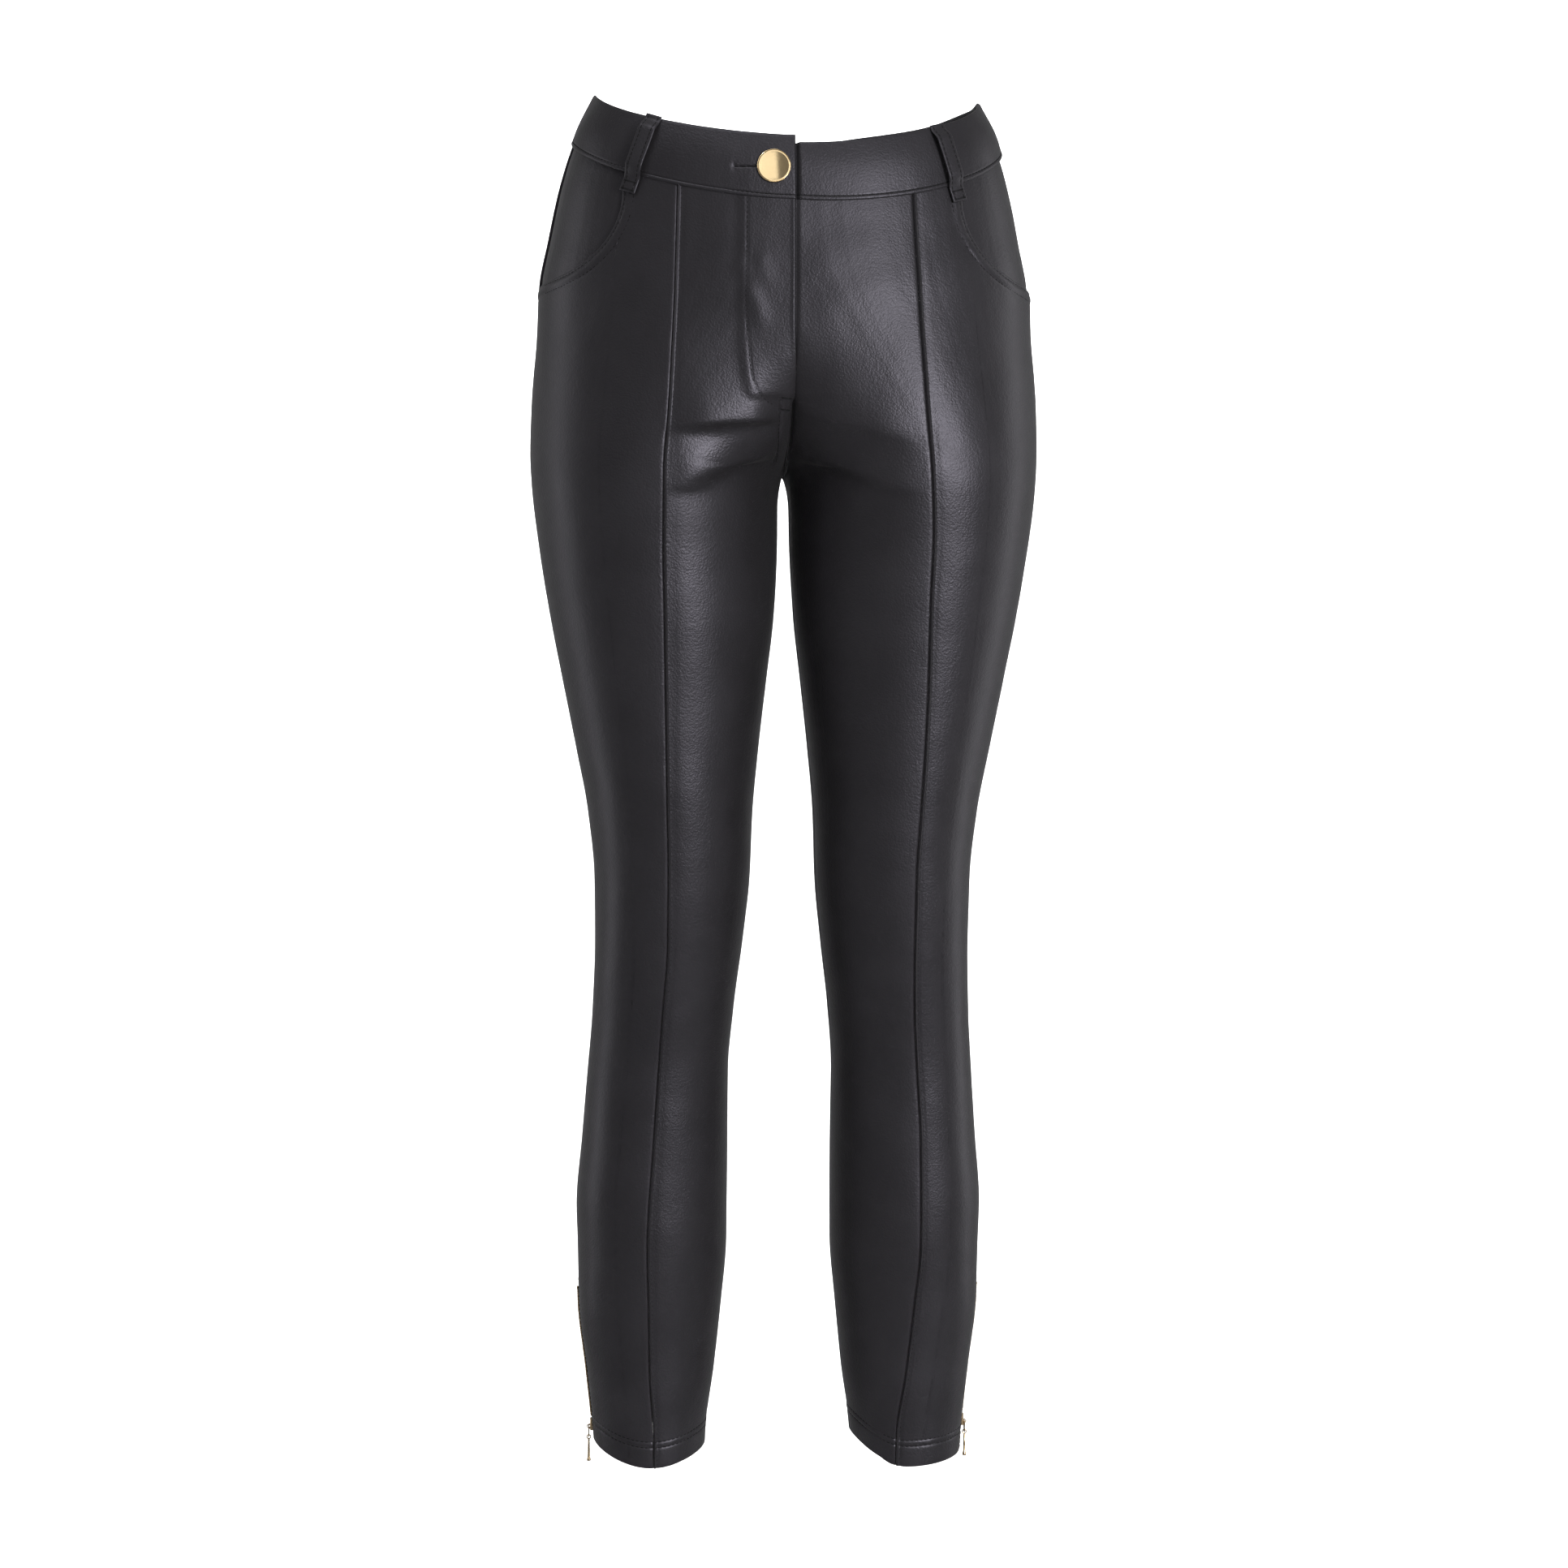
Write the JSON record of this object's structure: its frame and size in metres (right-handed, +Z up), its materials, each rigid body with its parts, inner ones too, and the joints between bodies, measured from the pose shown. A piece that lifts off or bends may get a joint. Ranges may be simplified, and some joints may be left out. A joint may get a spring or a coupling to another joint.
{
  "type": "skinny trousers",
  "caption": "High-rise skinny trousers in faux leather, hollow as on an unseen figure, with a waistband, shank button, belt loops, scoop pockets and ankle zips.",
  "frame": {"origin": "middle of the waist, about level with the waistband's lower seam at the sides", "axes": "+Z up, -Y to the front, +X to the wearer's left"},
  "size_m": [0.352, 0.2336, 0.9591],
  "materials": {
    "leather": "satin black faux leather with a fine pebble grain",
    "gold": "polished pale gold",
    "tape": "woven black tape"
  },
  "bodies": {
    "trousers": {"front_centre_right": "leather", "front_centre_left": "leather", "front_side_right": "leather", "front_side_left": "leather", "back_right": "leather", "back_left": "leather", "pocket_facing_right": "leather", "pocket_facing_left": "leather", "fly_shield": "leather", "waistband_right": "leather", "waistband_left": "leather", "waistband_back": "leather", "belt_loop_1": "leather", "belt_loop_2": "leather", "belt_loop_3": "leather", "belt_loop_4": "leather", "belt_loop_5": "leather", "button": "gold", "zip_chain_right": "gold", "zip_chain_left": "gold", "zip_slider_right": "gold", "zip_slider_left": "gold", "zip_tape_right": "tape", "zip_tape_left": "tape"},
    "link_right": {"pull_link_right": "gold"},
    "drop_right": {"pull_drop_right": "gold"},
    "link_left": {"pull_link_left": "gold"},
    "drop_left": {"pull_drop_left": "gold"}
  },
  "joints": [
    {"name": "link_swing_right", "type": "hinge", "parent": "trousers", "child": "link_right", "pos_m": [-0.1348, 0.06878, -0.8961], "axis": [0, 1, 0], "range_deg": [0, 120]},
    {"name": "drop_swing_right", "type": "hinge", "parent": "link_right", "child": "drop_right", "pos_m": [-0.1348, 0.06878, -0.9037], "axis": [0, 1, 0], "range_deg": [0, 60]},
    {"name": "link_swing_left", "type": "hinge", "parent": "trousers", "child": "link_left", "pos_m": [0.1348, 0.06878, -0.8961], "axis": [0, -1, 0], "range_deg": [0, 120]},
    {"name": "drop_swing_left", "type": "hinge", "parent": "link_left", "child": "drop_left", "pos_m": [0.1348, 0.06878, -0.9037], "axis": [0, -1, 0], "range_deg": [0, 60]}
  ]
}
